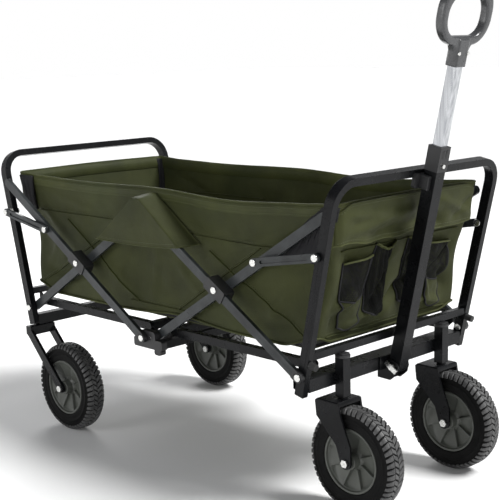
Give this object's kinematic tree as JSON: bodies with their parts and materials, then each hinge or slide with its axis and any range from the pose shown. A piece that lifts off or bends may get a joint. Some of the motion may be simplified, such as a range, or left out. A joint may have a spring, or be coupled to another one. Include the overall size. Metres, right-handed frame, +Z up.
{
  "type": "folding camp wagon",
  "caption": "Folding fabric wagon: leaning end hoops joined by scissor bars, open-top basket, knobby wheels, swivel casters in front and a telescopic pull handle.",
  "frame": {"origin": "on the floor, under the middle of the whole wagon with its handle upright and extended", "axes": "+X towards the pull handle, +Y to the wagon's left, +Z up"},
  "size_m": [1.1216, 0.5194, 0.9296],
  "materials": {
    "black_coated_steel": "black powder coat, satin, slightly pebbled, rubbed lighter on the edges",
    "bright_tube": "bright plated steel tube, smooth",
    "zinc_steel": "zinc-plated rivets, bolts and nuts, satin",
    "black_plastic": "moulded black plastic, fine grain",
    "grip_plastic": "dark grey moulded grip, semi-gloss",
    "rim_plastic": "moulded dark grey-olive rim, satin",
    "tyre_rubber": "black foam-filled tyre with moulded tread blocks",
    "black_rubber": "soft black rubber pads and bumpers",
    "olive_fabric": "olive-green coated polyester, woven, slightly creased",
    "black_mesh": "black knitted mesh with a bound hem"
  },
  "bodies": {
    "rear_frame": {"rear_hoop": "black_coated_steel", "rear_foot_caps": "black_plastic", "rear_cross_tubes": "black_coated_steel", "rear_forks": "black_coated_steel", "rear_axles": "zinc_steel", "rear_frame_rivets": "zinc_steel"},
    "rear_wheel_left": {"rear_tyre_left": "tyre_rubber", "rear_rim_left": "rim_plastic"},
    "rear_wheel_right": {"rear_tyre_right": "tyre_rubber", "rear_rim_right": "rim_plastic"},
    "rear_lower": {"rear_lower_bars": "black_coated_steel"},
    "rear_upper": {"rear_upper_bars": "black_coated_steel", "rear_cross_sleeves": "black_plastic", "rear_cross_rivets": "zinc_steel", "rear_upper_caps": "black_plastic"},
    "top_centre": {"top_knuckles": "black_plastic", "top_rivets": "zinc_steel", "basket_floor": "olive_fabric", "basket_walls": "olive_fabric", "bottle_pockets": "black_mesh", "side_flaps": "olive_fabric"},
    "front_lower": {"front_lower_bars": "black_coated_steel", "front_cross_sleeves": "black_plastic", "front_cross_rivets": "zinc_steel", "front_lower_caps": "black_plastic"},
    "front_upper": {"front_upper_bars": "black_coated_steel"},
    "front_frame": {"front_hoop": "black_coated_steel", "front_foot_caps": "black_plastic", "front_cross_tubes": "black_coated_steel", "caster_stems": "black_coated_steel", "stem_caps": "black_plastic", "handle_bracket": "black_coated_steel", "handle_bolt": "zinc_steel", "handle_clip": "black_plastic", "front_bumpers": "black_rubber", "front_frame_rivets": "zinc_steel"},
    "bottom_centre": {"bottom_knuckles": "black_plastic", "bottom_rivets": "zinc_steel", "centre_cross_tubes": "black_coated_steel", "rest_pads": "black_rubber"},
    "rear_stays": {"rear_links": "black_coated_steel", "rear_link_pins": "zinc_steel"},
    "front_stays": {"front_links": "black_coated_steel", "front_link_pins": "zinc_steel"},
    "rear_floor": {"rear_floor_frame": "black_coated_steel"},
    "front_floor": {"front_floor_frame": "black_coated_steel"},
    "caster_left": {"caster_fork_left": "black_coated_steel", "caster_axle_left": "zinc_steel"},
    "caster_right": {"caster_fork_right": "black_coated_steel", "caster_axle_right": "zinc_steel"},
    "front_wheel_left": {"front_tyre_left": "tyre_rubber", "front_rim_left": "rim_plastic"},
    "front_wheel_right": {"front_tyre_right": "tyre_rubber", "front_rim_right": "rim_plastic"},
    "handle_lower": {"handle_lower_tube": "black_coated_steel", "handle_collar": "black_plastic"},
    "handle_upper": {"handle_inner_tube": "bright_tube", "handle_grip": "grip_plastic", "grip_screws": "zinc_steel"},
    "handle_button": {"lock_button": "zinc_steel"}
  },
  "joints": [
    {"name": "fold", "type": "hinge", "parent": "rear_frame", "child": "rear_lower", "pos_m": [-0.47341, 0, 0.264], "axis": [0, -1, 0], "range_deg": [0, 37.9], "deforming": ["basket_floor", "basket_walls", "bottle_pockets", "side_flaps"]},
    {"name": "top_rear_pivot", "type": "hinge", "parent": "rear_lower", "child": "top_centre", "pos_m": [-0.05696, 0, 0.52221], "axis": [0, -1, 0], "range_deg": [-37.9, 0]},
    {"name": "top_front_pivot", "type": "hinge", "parent": "top_centre", "child": "front_lower", "pos_m": [-0.04096, 0, 0.52221], "axis": [0, -1, 0], "range_deg": [-37.9, 0]},
    {"name": "front_foot_pivot", "type": "hinge", "parent": "front_lower", "child": "front_frame", "pos_m": [0.37548, 0, 0.264], "axis": [0, -1, 0], "range_deg": [0, 37.9]},
    {"name": "rear_cross_pivot", "type": "hinge", "parent": "rear_lower", "child": "rear_upper", "pos_m": [-0.26519, 0, 0.3931], "axis": [0, -1, 0], "range_deg": [-75.8, 0]},
    {"name": "bottom_rear_pivot", "type": "hinge", "parent": "rear_upper", "child": "bottom_centre", "pos_m": [-0.05696, 0, 0.264], "axis": [0, -1, 0], "range_deg": [0, 37.9]},
    {"name": "front_cross_pivot", "type": "hinge", "parent": "front_lower", "child": "front_upper", "pos_m": [0.16726, 0, 0.3931], "axis": [0, -1, 0], "range_deg": [0, 75.8]},
    {"name": "rear_stay_pivot", "type": "hinge", "parent": "rear_frame", "child": "rear_stays", "pos_m": [-0.51634, 0, 0.482], "axis": [0, -1, 0], "range_deg": [0, 65]},
    {"name": "front_stay_pivot", "type": "hinge", "parent": "front_frame", "child": "front_stays", "pos_m": [0.41841, 0, 0.482], "axis": [0, -1, 0], "range_deg": [-65, 0]},
    {"name": "rear_floor_hinge", "type": "hinge", "parent": "rear_frame", "child": "rear_floor", "pos_m": [-0.45996, 0, 0.275], "axis": [0, -1, 0], "range_deg": [0, 98.54]},
    {"name": "front_floor_hinge", "type": "hinge", "parent": "front_frame", "child": "front_floor", "pos_m": [0.36204, 0, 0.275], "axis": [0, -1, 0], "range_deg": [-98.54, 0]},
    {"name": "rear_wheel_left_spin", "type": "hinge", "parent": "rear_frame", "child": "rear_wheel_left", "pos_m": [-0.35296, 0.22, 0.098], "axis": [0, 1, 0], "continuous": true},
    {"name": "rear_wheel_right_spin", "type": "hinge", "parent": "rear_frame", "child": "rear_wheel_right", "pos_m": [-0.35296, -0.22, 0.098], "axis": [0, 1, 0], "continuous": true},
    {"name": "caster_left_swivel", "type": "hinge", "parent": "front_frame", "child": "caster_left", "pos_m": [0.39204, 0.148, 0.207], "axis": [0, 0, 1], "continuous": true},
    {"name": "caster_right_swivel", "type": "hinge", "parent": "front_frame", "child": "caster_right", "pos_m": [0.39204, -0.148, 0.207], "axis": [0, 0, 1], "continuous": true},
    {"name": "front_wheel_left_spin", "type": "hinge", "parent": "caster_left", "child": "front_wheel_left", "pos_m": [0.42354, 0.148, 0.098], "axis": [0, 1, 0], "continuous": true},
    {"name": "front_wheel_right_spin", "type": "hinge", "parent": "caster_right", "child": "front_wheel_right", "pos_m": [0.42354, -0.148, 0.098], "axis": [0, 1, 0], "continuous": true},
    {"name": "handle_tilt", "type": "hinge", "parent": "front_frame", "child": "handle_lower", "pos_m": [0.40104, 0, 0.238], "axis": [0, 1, 0], "range_deg": [0, 72]},
    {"name": "handle_slide", "type": "slide", "parent": "handle_lower", "child": "handle_upper", "axis": [0.2147, 0, 0.9767], "range_m": [-0.135, 0]},
    {"name": "lock_button_press", "type": "slide", "parent": "handle_lower", "child": "handle_button", "axis": [-0.9767, 0, 0.2147], "range_m": [0, 0.003], "stiffness_N_per_m": 800}
  ],
  "couplings": [
    {"joint": "top_rear_pivot", "follows": "fold", "ratio": -1},
    {"joint": "top_front_pivot", "follows": "fold", "ratio": -1},
    {"joint": "front_foot_pivot", "follows": "fold", "ratio": 1},
    {"joint": "rear_cross_pivot", "follows": "fold", "ratio": -2},
    {"joint": "bottom_rear_pivot", "follows": "fold", "ratio": 1},
    {"joint": "front_cross_pivot", "follows": "fold", "ratio": 2},
    {"joint": "rear_stay_pivot", "follows": "fold", "ratio": 1.715},
    {"joint": "front_stay_pivot", "follows": "fold", "ratio": -1.715},
    {"joint": "rear_floor_hinge", "follows": "fold", "ratio": 2.6},
    {"joint": "front_floor_hinge", "follows": "fold", "ratio": -2.6}
  ]
}
